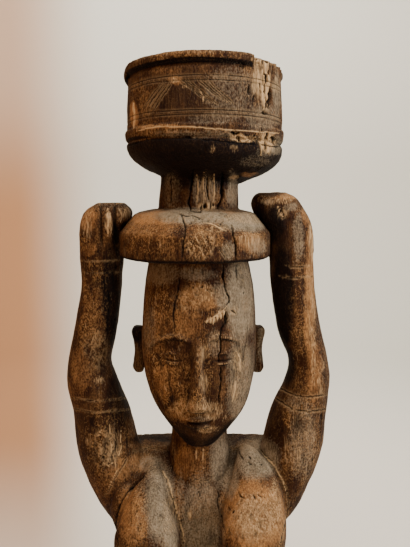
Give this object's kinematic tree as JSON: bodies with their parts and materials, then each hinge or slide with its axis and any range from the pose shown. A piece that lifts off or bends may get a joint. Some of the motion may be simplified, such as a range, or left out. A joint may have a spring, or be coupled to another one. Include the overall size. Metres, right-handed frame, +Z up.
{
  "type": "carved bearer figure",
  "caption": "Carved wooden standing female figure on a round base, both arms raised to steady a footed open vessel on a ring pad on her head.",
  "frame": {"origin": "middle of the round base's flat underside", "axes": "+Z up along the figure, the face looks along -Y, and +X is the viewer's right from the front"},
  "size_m": [0.2128, 0.148, 0.7025],
  "materials": {
    "weathered_wood": "dry weathered carved wood, dark brown with paler eroded patches"
  },
  "bodies": {
    "root": {"bearer_figure": "weathered_wood"}
  },
  "joints": []
}
